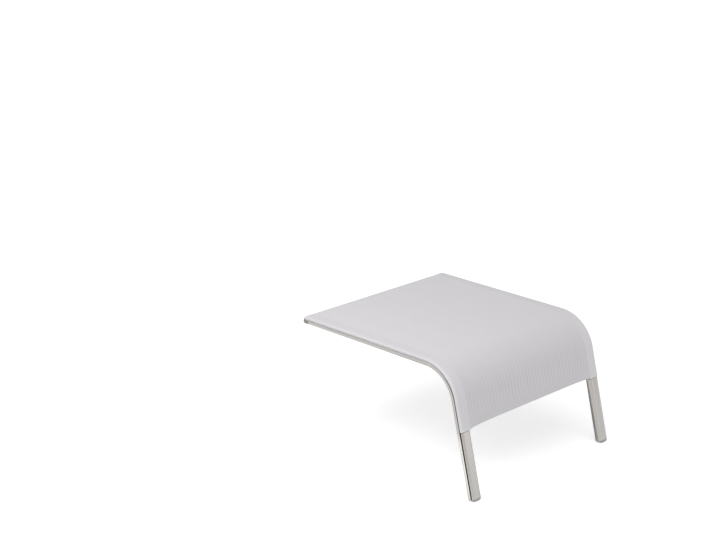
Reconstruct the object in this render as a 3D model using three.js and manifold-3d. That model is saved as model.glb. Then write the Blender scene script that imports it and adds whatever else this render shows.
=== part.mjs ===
import * as THREE from 'three';
import { mergeVertices } from 'three/addons/utils/BufferGeometryUtils.js';
import Module from 'manifold-3d';

// A two-legged footrest: a bent steel frame with a stretched mesh sling. Its rear end hooks over a round
// bar. Millimetres, +Z up, +X towards the feet, and +Y to the left when looking along +X. The sizes below
// drive every piece.

// Frame
const frameWidth = 600; // over the outer sides of the two rails
const frameHeight = 367; // from the floor to the top of the rails
const topLength = 480; // from the rear end to the start of the bend
const bendRadius = 109; // of the rails' centre line
const legLean = THREE.MathUtils.degToRad(14.2); // from upright, with the feet forward
const fitGap = 0.3; // between two pieces that touch
const overrun = 5; // of a cutting shape past the piece that it cuts

// Rail: a flat-oval tube, with a groove for the sling's edge cord in its outer side
const railWidth = 40;
const railThickness = 22;
const railWall = 1.5;
const grooveAngle = THREE.MathUtils.degToRad(29); // above the middle of the outer side
const grooveMouth = 3.2;

// Sling and its edge cords
const slingThickness = 1.2;
const slingLegCover = 84; // length of straight leg above the sling's free lower edge
const sleeveExtra = 4; // how much further the sling runs down on the legs themselves
const cordDiameter = 5.4;

// Crossbars: round tubes that bow away from the sling between their straight ends
const crossbarDiameter = 20;
const crossbarWall = 1.5;
const crossbarStraight = 100;
const crossbarBow = 32;
const rearCrossbarInset = 80; // from the rear end
const frontCrossbarDrop = 40; // below the end of the bend, along the leg
const spigotLength = 48;

// Screws that lock the crossbars on their spigots
const screwDiameter = 6;
const screwLength = 9;
const screwHeadDiameter = 9.5;
const screwHeadHeight = 3;
const screwCrownDiameter = 5.6; // of the head's flat crown
const screwTipChamfer = 0.6;
const screwSocket = 4; // across its flats
const screwSocketDepth = 1.8;
const firstScrewInset = 16; // from the rail's inner side
const screwSpacing = 18;

// Hooks that hang on the round bar, and their liners
const barDiameter = 25;
const barBehind = 52; // from the rear crossbar's centre back to the bar's
const barBelow = 30; // from the rear crossbar's centre down to the bar's
const hookInset = 70; // from the rail's inner side to the hook's middle
const hookThickness = 6;
const hookRim = 8; // of steel around the liner
const hookCradle = 6; // of steel under and beside the crossbar
const hookTop = 4; // how far the cradle reaches above the crossbar's centre
const hookNose = 10; // how far the steel reaches below the bar's centre
const linerThickness = 2.7;
const linerFlange = 4; // how far the flanges overlap the hook's steel
const linerWidth = 14;
const linerLip = 7; // how far the liner reaches below the bar's centre

// Foot glides and rear end caps
const glideHeight = 7;
const glideRound = 3;
const glideEdge = 1; // of the glide's height that is left at the two ends of its curved sole
const glideSole = 8; // width of the sole's flat middle
const glidePlug = 22;
const capThickness = 3;
const capCollar = 17; // length of the cap's grooved part, in line with the tube
const capPlug = 18;

// Numbers of flat facets
const bendSteps = 14;
const bowSteps = 16;
const roundSteps = 8; // in a rail's half-round side
const grooveSteps = 8;
const tubeSides = 16;
const cordSides = 10;
const screwSides = 12;
const socketSides = 6;
const domeSteps = 3;
const glideRoundSteps = 3;
const soleSteps = 4; // from the sole's flat middle to each end
const hookSteps = 10;

const steel = { color: 0xb9b7b1, roughness: 0.32, metalness: 1 };
const screwSteel = { color: 0xa9a8a5, roughness: 0.4, metalness: 1 };
const slingCloth = { color: 0xd9d8da, roughness: 0.75, metalness: 0 };
const cordPlastic = { color: 0xe4e3e0, roughness: 0.6, metalness: 0 };
const footPlastic = { color: 0x85837f, roughness: 0.6, metalness: 0 };
const capPlastic = { color: 0x4b4a49, roughness: 0.6, metalness: 0 };
const linerPlastic = { color: 0x3a3a3b, roughness: 0.55, metalness: 0 };

// Sizes that follow from the ones above
const railRound = railThickness / 2;
const railFlat = (railWidth - railThickness) / 2; // from the section's centre to a half-round side's centre
const railOffset = (frameWidth - railWidth) / 2; // from the footrest's middle to a rail's centre line
const railInside = frameWidth / 2 - railWidth; // from the footrest's middle to a rail's inner side
const railLevel = frameHeight - railRound;
const pocketRadius = cordDiameter / 2 + fitGap;
const pocketDepth = railWall + Math.sqrt(pocketRadius ** 2 - (grooveMouth / 2) ** 2);
const pocketReach = railRound - pocketDepth; // from the half-round side's centre to the cord's
const bendAngle = Math.PI / 2 - legLean;
const bendLength = bendRadius * bendAngle;
const bendEnd = topLength + bendLength;
const bendEndX = topLength + bendRadius * Math.sin(bendAngle);
const bendEndZ = railLevel - bendRadius * (1 - Math.cos(bendAngle));
const legEnd = bendEnd + bendEndZ / Math.cos(legLean);
const legReach = (bendEndZ - glideHeight) * Math.tan(legLean) + railRound / Math.cos(legLean);
const overallLength = bendEndX + legReach;
const capLength = capThickness + capCollar;
const slingRearEdge = capThickness + fitGap;
const slingFreeEdge = bendEnd + slingLegCover;
const slingSleeveEdge = slingFreeEdge + sleeveExtra;
const crossbarRadius = crossbarDiameter / 2;
const crossbarLevel = crossbarRadius - railRound; // level with the rail's underside

const wasm = await Module();
wasm.setup();

function toSolid(geometry) {
  geometry.deleteAttribute('normal');
  geometry.deleteAttribute('uv');
  const merged = mergeVertices(geometry);
  const vertProperties = new Float32Array(merged.attributes.position.array);
  const triVerts = new Uint32Array(merged.index.array);
  return new wasm.Manifold(new wasm.Mesh({ numProp: 3, vertProperties, triVerts }));
}

function toGeometry(solid) {
  const cut = solid.getMesh();
  const geometry = new THREE.BufferGeometry();
  geometry.setAttribute('position', new THREE.BufferAttribute(cut.vertProperties, 3));
  geometry.setIndex(new THREE.BufferAttribute(cut.triVerts, 1));
  geometry.computeVertexNormals();
  return geometry;
}

function makeMesh(name, geometry, look) {
  const piece = new THREE.Mesh(geometry, new THREE.MeshStandardMaterial(look));
  piece.name = name;
  return piece;
}

// Points of an arc, both ends included
function arc(centreX, centreY, radius, startAngle, endAngle, steps) {
  const points = [];
  for (let i = 0; i <= steps; i += 1) {
    const angle = startAngle + ((endAngle - startAngle) * i) / steps;
    points.push(new THREE.Vector2(centreX + radius * Math.cos(angle), centreY + radius * Math.sin(angle)));
  }
  return points;
}

function circle(centreX, centreY, radius, sides) {
  return arc(centreX, centreY, radius, 0, Math.PI * 2, sides).slice(1);
}

// Box between two corners
function boxSolid(low, high) {
  const size = new THREE.Vector3().subVectors(high, low);
  const box = new THREE.BoxGeometry(size.x, size.y, size.z);
  box.translate((low.x + high.x) / 2, (low.y + high.y) / 2, (low.z + high.z) / 2);
  return toSolid(box);
}

// A cylinder that runs along Y from one place to another
function roundBar(radius, start, end, sides) {
  const bar = new THREE.CylinderGeometry(radius, radius, end - start, sides);
  bar.translate(0, (start + end) / 2, 0);
  return bar;
}

// A path given by its points and directions. A section's x lies along the path's across direction,
// and its y along direction x across.
class SectionPath extends THREE.Curve {
  constructor(points, directions, across) {
    super();
    this.points = points;
    this.directions = directions;
    this.across = across;
  }

  getPoint(t) {
    return this.points[Math.round(t * (this.points.length - 1))].clone();
  }

  getPointAt(u) {
    return this.getPoint(u);
  }

  computeFrenetFrames() {
    const tangents = this.directions;
    const normals = tangents.map(() => this.across);
    const binormals = tangents.map((direction) => new THREE.Vector3().crossVectors(direction, this.across));
    return { tangents, normals, binormals };
  }
}

function sweep(outline, holes, path) {
  const shape = new THREE.Shape(outline);
  shape.holes = holes.map((points) => new THREE.Path(points));
  return new THREE.ExtrudeGeometry(shape, { steps: path.points.length - 1, extrudePath: path });
}

// The rails' centre line: level, round the bend, and down the leg. Distances are measured along it
// from the rear end.
function railAngle(distance) {
  return THREE.MathUtils.clamp((distance - topLength) / bendRadius, 0, bendAngle);
}

function railDirection(distance) {
  const angle = railAngle(distance);
  return new THREE.Vector3(Math.cos(angle), 0, -Math.sin(angle));
}

function railPoint(distance) {
  const angle = railAngle(distance);
  const straight = Math.min(distance, topLength) + Math.max(distance - bendEnd, 0) * Math.cos(angle);
  const fall = Math.max(distance - bendEnd, 0) * Math.sin(angle);
  const x = straight + bendRadius * Math.sin(angle);
  const z = railLevel - bendRadius * (1 - Math.cos(angle)) - fall;
  return new THREE.Vector3(x, 0, z);
}

function railPath(start, end) {
  const stations = [start];
  for (let i = 0; i <= bendSteps; i += 1) {
    const station = topLength + (bendLength * i) / bendSteps;
    if (station > start && station < end) stations.push(station);
  }
  stations.push(end);
  return new SectionPath(stations.map(railPoint), stations.map(railDirection), new THREE.Vector3(0, 1, 0));
}

// Distance along the rail at which the leg's centre line is at a height
function legStation(height) {
  return legEnd - height / Math.cos(legLean);
}

// A rail's outlines are drawn about its centre with the outer side at +x, then moved to their side.
// Their points stay anticlockwise.
function onSide(points, side) {
  const moved = points.map((point) => new THREE.Vector2(side * (railOffset + point.x), point.y));
  return side > 0 ? moved : moved.reverse();
}

function flatOval(grow) {
  const radius = railRound + grow;
  return [
    ...arc(railFlat, 0, radius, -Math.PI / 2, Math.PI / 2, roundSteps),
    ...arc(-railFlat, 0, radius, Math.PI / 2, Math.PI * 1.5, roundSteps),
  ];
}

const pocketX = railFlat + pocketReach * Math.cos(grooveAngle);
const pocketY = pocketReach * Math.sin(grooveAngle);

// Outer outline, and what goes between its two lips: nothing, or the groove's round pocket
function railOutline(pocket) {
  const mouthAngle = Math.asin(grooveMouth / 2 / railRound);
  return [
    ...arc(railFlat, 0, railRound, -Math.PI / 2, grooveAngle - mouthAngle, roundSteps / 2),
    ...pocket,
    ...arc(railFlat, 0, railRound, grooveAngle + mouthAngle, Math.PI / 2, roundSteps / 2),
    ...arc(-railFlat, 0, railRound, Math.PI / 2, Math.PI * 1.5, roundSteps),
  ];
}

function groovedOutline() {
  const mouth = Math.asin(grooveMouth / 2 / pocketRadius);
  const start = grooveAngle - mouth;
  const end = grooveAngle + mouth - Math.PI * 2;
  return railOutline(arc(pocketX, pocketY, pocketRadius, start, end, grooveSteps));
}

// Inner outline, which goes round the pocket's wall. A plug that goes into it is smaller by its clearance.
function hollowOutline(clearance) {
  const radius = railRound - railWall - clearance;
  const shell = pocketRadius + railWall + clearance;
  const turn = Math.acos((radius ** 2 + pocketReach ** 2 - shell ** 2) / (2 * radius * pocketReach));
  const shellTurn = Math.atan2(radius * Math.sin(turn), radius * Math.cos(turn) - pocketReach);
  return [
    ...arc(railFlat, 0, radius, -Math.PI / 2, grooveAngle - turn, roundSteps / 2),
    ...arc(
      pocketX,
      pocketY,
      shell,
      grooveAngle - shellTurn,
      grooveAngle + shellTurn - Math.PI * 2,
      grooveSteps,
    ).slice(1, -1),
    ...arc(railFlat, 0, radius, grooveAngle + turn, Math.PI / 2, roundSteps / 2),
    ...arc(-railFlat, 0, radius, Math.PI / 2, Math.PI * 1.5, roundSteps),
  ];
}

// Side rail with its leg, cut level above the foot glide
function sideRail(side) {
  const path = railPath(capLength + fitGap, legEnd + overrun);
  const tube = toSolid(sweep(onSide(groovedOutline(), side), [onSide(hollowOutline(0), side)], path));
  const low = new THREE.Vector3(0, -frameWidth, -frameHeight);
  const high = new THREE.Vector3(overallLength + overrun, frameWidth, glideHeight + fitGap);
  return toGeometry(tube.subtract(boxSolid(low, high)));
}

// Cap in the rail's rear end: a closed head, a collar that carries on the rail's groove, and a plug
function rearEndCap(side) {
  const head = toSolid(sweep(onSide(railOutline([]), side), [], railPath(0, capThickness)));
  const collar = toSolid(sweep(onSide(groovedOutline(), side), [], railPath(capThickness / 2, capLength)));
  const path = railPath(capThickness, capLength + capPlug);
  const plug = toSolid(sweep(onSide(hollowOutline(fitGap), side), [], path));
  return toGeometry(head.add(collar).add(plug));
}

// Everything above a sole that is flat in its middle and curves up towards both sides of the leg
function aboveSole(side) {
  const end = railWidth / 2;
  const flat = glideSole / 2;
  const rise = glideHeight - glideEdge;
  const centre = (end ** 2 + rise ** 2 - flat ** 2) / (2 * rise);
  const radius = Math.hypot(flat, centre);
  const down = -Math.PI / 2;
  const outline = [
    new THREE.Vector2(-end - overrun, rise),
    ...arc(0, centre, radius, down - Math.asin(end / radius), down - Math.asin(flat / radius), soleSteps),
    ...arc(0, centre, radius, down + Math.asin(flat / radius), down + Math.asin(end / radius), soleSteps),
    new THREE.Vector2(end + overrun, rise),
    new THREE.Vector2(end + overrun, frameHeight),
    new THREE.Vector2(-end - overrun, frameHeight),
  ].map((point) => new THREE.Vector2(side * railOffset + point.x, point.y));
  const path = new SectionPath(
    [new THREE.Vector3(0, 0, 0), new THREE.Vector3(overallLength + overrun, 0, 0)],
    [new THREE.Vector3(1, 0, 0), new THREE.Vector3(1, 0, 0)],
    new THREE.Vector3(0, 1, 0),
  );
  return toSolid(sweep(outline, [], path));
}

// Glide under the leg: its rounded head has the leaning tube's level outline
function footGlide(side) {
  const outline = flatOval(0).map(
    (point) => new THREE.Vector2(point.y / Math.cos(legLean), side * railOffset + point.x),
  );
  const block = new THREE.ExtrudeGeometry(new THREE.Shape(outline), {
    depth: glideHeight - glideRound,
    bevelThickness: glideRound,
    bevelSize: glideRound,
    bevelOffset: -glideRound,
    bevelSegments: glideRoundSteps,
  });
  const top = railPoint(legStation(glideHeight));
  block.translate(top.x, 0, glideRound);
  const low = new THREE.Vector3(0, -frameWidth, glideHeight);
  const high = new THREE.Vector3(overallLength + overrun, frameWidth, frameHeight);
  const head = toSolid(block).subtract(boxSolid(low, high));
  const path = railPath(legStation(glideHeight) - glidePlug, legStation(glideHeight / 2));
  const plug = toSolid(sweep(onSide(hollowOutline(fitGap), side), [], path));
  return toGeometry(head.add(plug).intersect(aboveSole(side)));
}

function edgeCord(side) {
  const outline = circle(pocketX, pocketY, cordDiameter / 2, cordSides);
  return sweep(onSide(outline, side), [], railPath(slingRearEdge, slingSleeveEdge));
}

// Half of the sling's section: over the outer half of the rail and in through the groove's mouth
function slingEdge() {
  const outer = railRound + fitGap + slingThickness;
  const inner = railRound + fitGap;
  const tail = pocketReach + cordDiameter / 2 + fitGap;
  const half = slingThickness / 2;
  const polar = (radius, offset) => {
    const x = railFlat + radius * Math.cos(grooveAngle) - offset * Math.sin(grooveAngle);
    const y = radius * Math.sin(grooveAngle) + offset * Math.cos(grooveAngle);
    return new THREE.Vector2(x, y);
  };
  return [
    ...arc(railFlat, 0, inner, Math.PI / 2, grooveAngle + Math.asin(half / inner), roundSteps / 2),
    polar(tail, half),
    polar(tail, -half),
    ...arc(railFlat, 0, outer, grooveAngle - Math.asin(half / outer), Math.PI / 2, roundSteps / 2),
  ];
}

function sling() {
  const outline = [...onSide(slingEdge(), 1), ...onSide(slingEdge(), -1)];
  const sheet = toSolid(sweep(outline, [], railPath(slingRearEdge, slingSleeveEdge)));
  const span = railInside;
  const level = railRound + fitGap + slingThickness / 2;
  const cutter = [
    new THREE.Vector2(-span, level - overrun),
    new THREE.Vector2(span, level - overrun),
    new THREE.Vector2(span, level + overrun),
    new THREE.Vector2(-span, level + overrun),
  ];
  const freeSpan = toSolid(sweep(cutter, [], railPath(slingFreeEdge, slingSleeveEdge + overrun)));
  return toGeometry(sheet.subtract(freeSpan));
}

// Crossbars and their fittings are drawn about the middle of the line between the two rails' centres,
// with x along the rails and z out through the sling
function railBlank() {
  const path = new SectionPath(
    [new THREE.Vector3(-railWidth, 0, 0), new THREE.Vector3(railWidth, 0, 0)],
    [new THREE.Vector3(1, 0, 0), new THREE.Vector3(1, 0, 0)],
    new THREE.Vector3(0, 1, 0),
  );
  const blanks = [1, -1].map((side) => toSolid(sweep(onSide(flatOval(fitGap), side), [], path)));
  return blanks[0].add(blanks[1]);
}

function bowAt(y) {
  const span = railInside - crossbarStraight;
  const turn = THREE.MathUtils.clamp(y / span, -1, 1) * Math.PI;
  return {
    point: new THREE.Vector3(0, y, crossbarLevel - (crossbarBow * (1 + Math.cos(turn))) / 2),
    slope: ((crossbarBow * Math.PI) / span / 2) * Math.sin(turn),
  };
}

function crossbarPath() {
  const end = railInside + railRound;
  const span = railInside - crossbarStraight;
  const places = [-end];
  for (let i = 0; i <= bowSteps; i += 1) places.push(-span + (2 * span * i) / bowSteps);
  places.push(end);
  const points = places.map((y) => bowAt(y).point);
  const directions = places.map((y) => new THREE.Vector3(0, 1, bowAt(y).slope).normalize());
  return new SectionPath(points, directions, new THREE.Vector3(1, 0, 0));
}

const screwPlaces = [firstScrewInset, firstScrewInset + screwSpacing].map((inset) => railInside - inset);

// Holes for the screws, from below into the tube and its spigot
function screwHoles() {
  const holes = [];
  for (const side of [1, -1]) {
    for (const place of screwPlaces) {
      const hole = roundBar(
        screwDiameter / 2 + fitGap,
        -crossbarRadius - overrun,
        screwLength - crossbarRadius + fitGap,
        screwSides,
      );
      hole.rotateX(Math.PI / 2);
      hole.translate(0, side * place, crossbarLevel);
      holes.push(toSolid(hole));
    }
  }
  return holes.reduce((all, hole) => all.add(hole));
}

function crossbar() {
  const outer = circle(0, 0, crossbarRadius, tubeSides);
  const inner = circle(0, 0, crossbarRadius - crossbarWall, tubeSides);
  const tube = toSolid(sweep(outer, [inner], crossbarPath()));
  return toGeometry(tube.subtract(railBlank()).subtract(screwHoles()));
}

// Spigot welded to the rail's inner side. Its corners line up with the crossbar's.
function spigot(side) {
  const ends = [railInside - spigotLength, railInside + railRound];
  const path = new SectionPath(
    ends.map((y) => new THREE.Vector3(0, side * y, crossbarLevel)),
    ends.map(() => new THREE.Vector3(0, side, 0)),
    new THREE.Vector3(1, 0, 0),
  );
  const radius = crossbarRadius - crossbarWall - fitGap;
  const plug = toSolid(sweep(circle(0, 0, radius, tubeSides), [], path));
  return toGeometry(plug.subtract(railBlank()).subtract(screwHoles()));
}

// Button-head screw with a hexagon socket, its seat at the origin and its shank along +Z
function screw() {
  const headRadius = screwHeadDiameter / 2;
  const radius = screwDiameter / 2;
  const crown = screwCrownDiameter / 2;
  const profile = [new THREE.Vector2(0, -screwHeadHeight)];
  for (let i = 0; i <= domeSteps; i += 1) {
    const turn = ((i / domeSteps) * Math.PI) / 2;
    const reach = crown + (headRadius - crown) * Math.sin(turn);
    profile.push(new THREE.Vector2(reach, -screwHeadHeight * Math.cos(turn)));
  }
  profile.push(new THREE.Vector2(radius, 0));
  profile.push(new THREE.Vector2(radius, screwLength - screwTipChamfer));
  profile.push(new THREE.Vector2(radius - screwTipChamfer, screwLength));
  profile.push(new THREE.Vector2(0, screwLength));
  const body = new THREE.LatheGeometry(profile, screwSides);
  const socket = roundBar(
    screwSocket / Math.sqrt(3),
    -screwHeadHeight - overrun,
    screwSocketDepth - screwHeadHeight,
    socketSides,
  );
  const cut = toGeometry(toSolid(body).subtract(toSolid(socket)));
  cut.rotateX(Math.PI / 2);
  return cut;
}

// Plate whose outline lies in the XZ plane, centred on y = 0
function plate(outline, thickness) {
  const settings = { depth: thickness, bevelEnabled: false };
  const geometry = new THREE.ExtrudeGeometry(new THREE.Shape(outline), settings);
  geometry.translate(0, 0, -thickness / 2);
  geometry.rotateX(Math.PI / 2);
  return toSolid(geometry);
}

// The hook and its liner are drawn about the centre of the bar
const boreRadius = barDiameter / 2 + fitGap;
const linerRadius = boreRadius + linerThickness;
const mouthRadius = linerRadius + fitGap;

// A round-topped opening that goes down to a given drop
function arch(radius, drop) {
  return [
    ...arc(0, 0, radius, 0, Math.PI, hookSteps),
    new THREE.Vector2(-radius, -drop),
    new THREE.Vector2(radius, -drop),
  ];
}

// Steel plate that hooks over the bar and cradles the crossbar, to which it is welded
function hookPlate() {
  const rim = mouthRadius + hookRim;
  const seat = crossbarRadius + fitGap;
  const cradle = seat + hookCradle;
  const heading = Math.atan2(barBelow, barBehind);
  const turn = Math.acos((rim - cradle) / Math.hypot(barBehind, barBelow));
  const outline = [
    ...arc(0, 0, rim, heading + turn, heading + Math.PI * 2 - turn, hookSteps * 2),
    ...arc(barBehind, barBelow, cradle, heading - turn, heading + turn, hookSteps),
  ];
  const cutThickness = hookThickness + overrun;
  const rear = -rim - overrun;
  const front = barBehind + cradle + overrun;
  const below = boxSolid(
    new THREE.Vector3(rear, -cutThickness, -rim - overrun),
    new THREE.Vector3(front, cutThickness, -hookNose),
  );
  const above = boxSolid(
    new THREE.Vector3(rear, -cutThickness, barBelow + hookTop),
    new THREE.Vector3(front, cutThickness, barBelow + cradle + overrun),
  );
  return toGeometry(
    plate(outline, hookThickness)
      .subtract(plate(arch(mouthRadius, rim + overrun), cutThickness))
      .subtract(plate(circle(barBehind, barBelow, seat, tubeSides), cutThickness))
      .subtract(below)
      .subtract(above),
  );
}

// Plastic clip in the hook's mouth, with flanges on both faces of the plate
function hookLiner() {
  const flangeRadius = linerRadius + linerFlange;
  const slotWidth = hookThickness + 2 * fitGap;
  const slot = plate(arch(flangeRadius + overrun, linerLip + overrun), slotWidth).subtract(
    plate(arch(linerRadius, linerLip + 2 * overrun), slotWidth + overrun),
  );
  const bore = plate(circle(0, 0, boreRadius, hookSteps * 2), linerWidth + overrun);
  return toGeometry(plate(arch(flangeRadius, linerLip), linerWidth).subtract(slot).subtract(bore));
}

const footrest = new THREE.Group();
footrest.name = 'footrest';

const body = new THREE.Group();
body.position.x = -overallLength / 2;
footrest.add(body);

const sides = [
  { name: 'left', sign: 1 },
  { name: 'right', sign: -1 },
];

for (const { name, sign } of sides) {
  body.add(makeMesh(`side_rail_${name}`, sideRail(sign), steel));
  body.add(makeMesh(`edge_cord_${name}`, edgeCord(sign), cordPlastic));
  body.add(makeMesh(`rear_end_cap_${name}`, rearEndCap(sign), capPlastic));
  body.add(makeMesh(`foot_glide_${name}`, footGlide(sign), footPlastic));
}
body.add(makeMesh('sling', sling(), slingCloth));

// Crossbar with its spigots and screws, at one place along the rails
function crossMember(end, distance) {
  const member = new THREE.Group();
  member.position.copy(railPoint(distance));
  member.rotation.y = railAngle(distance);
  member.add(makeMesh(`${end}_crossbar`, crossbar(), steel));
  for (const { name, sign } of sides) {
    member.add(makeMesh(`${end}_spigot_${name}`, spigot(sign), steel));
    screwPlaces.forEach((place, index) => {
      const piece = makeMesh(`${end}_crossbar_screw_${name}_${index + 1}`, screw(), screwSteel);
      piece.position.set(0, sign * place, crossbarLevel - crossbarRadius - fitGap);
      member.add(piece);
    });
  }
  return member;
}

const rearMember = crossMember('rear', rearCrossbarInset);
body.add(rearMember, crossMember('front', bendEnd + frontCrossbarDrop));

for (const { name, sign } of sides) {
  const hook = new THREE.Group();
  hook.position.set(-barBehind, sign * (railInside - hookInset), crossbarLevel - barBelow);
  hook.add(makeMesh(`hook_plate_${name}`, hookPlate(), steel));
  hook.add(makeMesh(`hook_liner_${name}`, hookLiner(), linerPlastic));
  rearMember.add(hook);
}

export default footrest;
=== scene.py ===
import bmesh
import bpy
import math
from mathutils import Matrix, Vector


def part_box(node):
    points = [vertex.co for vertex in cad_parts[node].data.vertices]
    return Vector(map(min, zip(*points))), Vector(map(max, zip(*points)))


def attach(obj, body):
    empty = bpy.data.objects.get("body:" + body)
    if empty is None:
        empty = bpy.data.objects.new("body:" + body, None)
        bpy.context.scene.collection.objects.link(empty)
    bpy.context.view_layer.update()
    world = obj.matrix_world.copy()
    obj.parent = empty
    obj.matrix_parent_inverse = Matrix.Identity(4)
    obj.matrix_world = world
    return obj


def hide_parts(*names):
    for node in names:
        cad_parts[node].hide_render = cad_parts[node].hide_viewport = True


# A two-legged footrest: two bent flat-oval rails, a stretched mesh sling between them, and hooks at the rear.
# Metres, +Z up, +X towards the feet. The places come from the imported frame, the finer sizes from the
# dictionaries beside each piece.

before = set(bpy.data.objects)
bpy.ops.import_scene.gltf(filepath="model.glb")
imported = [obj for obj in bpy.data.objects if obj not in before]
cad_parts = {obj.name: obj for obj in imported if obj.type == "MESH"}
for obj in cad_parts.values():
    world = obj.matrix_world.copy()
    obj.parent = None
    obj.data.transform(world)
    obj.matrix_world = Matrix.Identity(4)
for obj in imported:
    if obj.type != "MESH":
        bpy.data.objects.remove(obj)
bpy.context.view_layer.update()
sideNames = {1: "left", -1: "right"}
print("frame loaded with", len(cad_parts), "nodes")


def addObject(name, data):
    made = bpy.data.objects.new(name, data)
    bpy.context.scene.collection.objects.link(made)
    return made


# Camera

view = {
    "place": (2.9823, -3.3589, 1.9557),
    "heading": math.radians(45.28),  # 0 looks along +Y
    "downwards": math.radians(17.79),
    "focalPixels": 1648.5,
    "picturePixels": 716,
    "sensorWidth": 36,
    "farthest": 100,
}


def makeCamera():
    data = bpy.data.cameras.new("studioCamera")
    data.sensor_width = view["sensorWidth"]
    data.lens = view["focalPixels"] / view["picturePixels"] * view["sensorWidth"]
    data.clip_end = view["farthest"]
    camera = addObject("studioCamera", data)
    camera.location = view["place"]
    camera.rotation_euler = (math.pi / 2 - view["downwards"], 0, view["heading"])
    bpy.context.scene.camera = camera


makeCamera()
print("camera placed")


# Node helpers. A value is a socket to link, or a plain number or colour.

noiseRange = (0.3, 0.7)  # where nearly all of a noise's values lie


def feed(value, socket):
    if isinstance(value, bpy.types.NodeSocket):
        socket.id_data.links.new(value, socket)
    else:
        socket.default_value = value


def addNode(tree, kind, inputs=None, **settings):
    node = tree.nodes.new(kind)
    for name, value in settings.items():
        setattr(node, name, value)
    for name, value in (inputs or {}).items():
        feed(value, node.inputs[name])
    return node


def maths(operation, *values):
    tree = next(value.id_data for value in values if isinstance(value, bpy.types.NodeSocket))
    return addNode(tree, "ShaderNodeMath", dict(enumerate(values)), operation=operation).outputs[0]


def times(first, *others):
    for other in others:
        first = maths("MULTIPLY", first, other)
    return first


def plus(first, second):
    return maths("ADD", first, second)


def mixed(first, second, share):
    return plus(times(first, share), times(second, 1 - share))


def spread(value, low, high, newLow=0, newHigh=1):
    # Maps low to high onto the new range, and holds its ends
    return addNode(value.id_data, "ShaderNodeMapRange", {
        "Value": value, "From Min": low, "From Max": high, "To Min": newLow, "To Max": newHigh,
    }).outputs["Result"]


def towards(share, value):
    # 1 where the share is 0, and the value where it is 1
    return spread(share, 0, 1, 1, value)


def crests(turn):
    # 1 on a wave's crests and 0 halfway between them
    return spread(maths("COSINE", turn), -1, 1)


def axesOf(vector):
    return addNode(vector.id_data, "ShaderNodeSeparateXYZ", {"Vector": vector}).outputs


def grainMap(tree, stretch=None):
    # Runs along and around each piece in metres
    grain = addNode(tree, "ShaderNodeUVMap", uv_map="grain").outputs[0]
    if stretch:
        grain = addNode(tree, "ShaderNodeMapping", {"Vector": grain, "Scale": stretch}).outputs[0]
    return grain


def placeMap(tree):
    return addNode(tree, "ShaderNodeTexCoord").outputs["Object"]


def noiseOf(vector, scale, detail=3, roughness=0.5):
    return addNode(vector.id_data, "ShaderNodeTexNoise", {
        "Vector": vector, "Scale": scale, "Detail": detail, "Roughness": roughness,
    }).outputs[0]


def shade(colour, factor):
    return tuple(min(channel * factor, 1) for channel in colour[:3]) + (1,)


def scaleColour(colour, factor):
    inputs = {0: colour, "Scale": factor}
    return addNode(factor.id_data, "ShaderNodeVectorMath", inputs, operation="SCALE").outputs[0]


def blendColours(amount, first, second):
    mixer = addNode(amount.id_data, "ShaderNodeMix", {0: amount, 6: first, 7: second}, data_type="RGBA")
    return mixer.outputs[2]  # 6, 7 and 2 are its colour sockets


def wornColour(noise, finish):
    # Uneven, and paler along rubbed edges
    low, high, rubbed = (shade(finish["colour"], tint) for tint in (*finish["tints"], finish["rubbedTint"]))
    pointiness = addNode(noise.id_data, "ShaderNodeNewGeometry").outputs["Pointiness"]
    worn = spread(pointiness, *finish["rubbedEdges"], 0, finish["rub"])
    return blendColours(worn, blendColours(spread(noise, *noiseRange), low, high), rubbed)


def newLook(name, metallic=0.0):
    look = bpy.data.materials.new(name)
    look.use_nodes = True
    look.node_tree.nodes["Principled BSDF"].inputs["Metallic"].default_value = metallic
    return look


def dressLook(look, colour, roughness, height, bump, depth):
    inputs = {"Height": height, "Strength": bump, "Distance": depth}
    relief = addNode(look.node_tree, "ShaderNodeBump", inputs)
    shader = look.node_tree.nodes["Principled BSDF"]
    for name, value in (("Base Color", colour), ("Roughness", roughness), ("Normal", relief.outputs[0])):
        feed(value, shader.inputs[name])
    return look


# Satin stainless steel, brushed along the tube

steelFinish = {
    "colour": (0.43, 0.415, 0.398, 1),
    "roughness": (0.17, 0.30),
    "brushScale": (40, 2600, 1),
    "brushShare": 0.6,  # of the brushing in the colour's unevenness, the rest is smudges
    "brushBump": 0.35,
    "brushDepth": 0.00003,
    "smudgeScale": 14,
    "smudgeShare": 0.7,  # of the smudges in the gloss's unevenness, the rest is finer smudges
    "fineSmudges": 30,  # times as fine
    "tints": (0.93, 1.05),
    "rubbedEdges": (0.52, 0.60),  # pointiness from which an edge is rubbed, and where it is so in full
    "rubbedTint": 1.18,
    "rub": 0.5,  # share of that tint
}
# Painted shading on the rails: shade inside the groove, a shadow below the sleeves' ends, and a highlight on
# the legs' outer round
railPaintedShading = {
    # painted shade inside the groove's recess
    "colour": (0.035, 0.034, 0.033, 1),
    "roughness": 0.75,
    "blur": 0.0002,  # of its edges
    "hemShadow": 0.6,  # painted shadow: how much darker the steel is just below the ends of the sling's sleeves
    "hemShadowWidth": 0.0032,
    "hemShadowFade": (0.011, 0.015),  # beyond the side that the sling lies on
    "polish": 1.5,  # painted highlight: how much brighter the uncovered legs' outer round is behind the groove
    "paintedHighlightFrom": (0.007, 0.01),  # distances round the section over which that comes in
    "polishAlong": 0.03,  # and along the leg, from the sleeve's end
}


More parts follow.
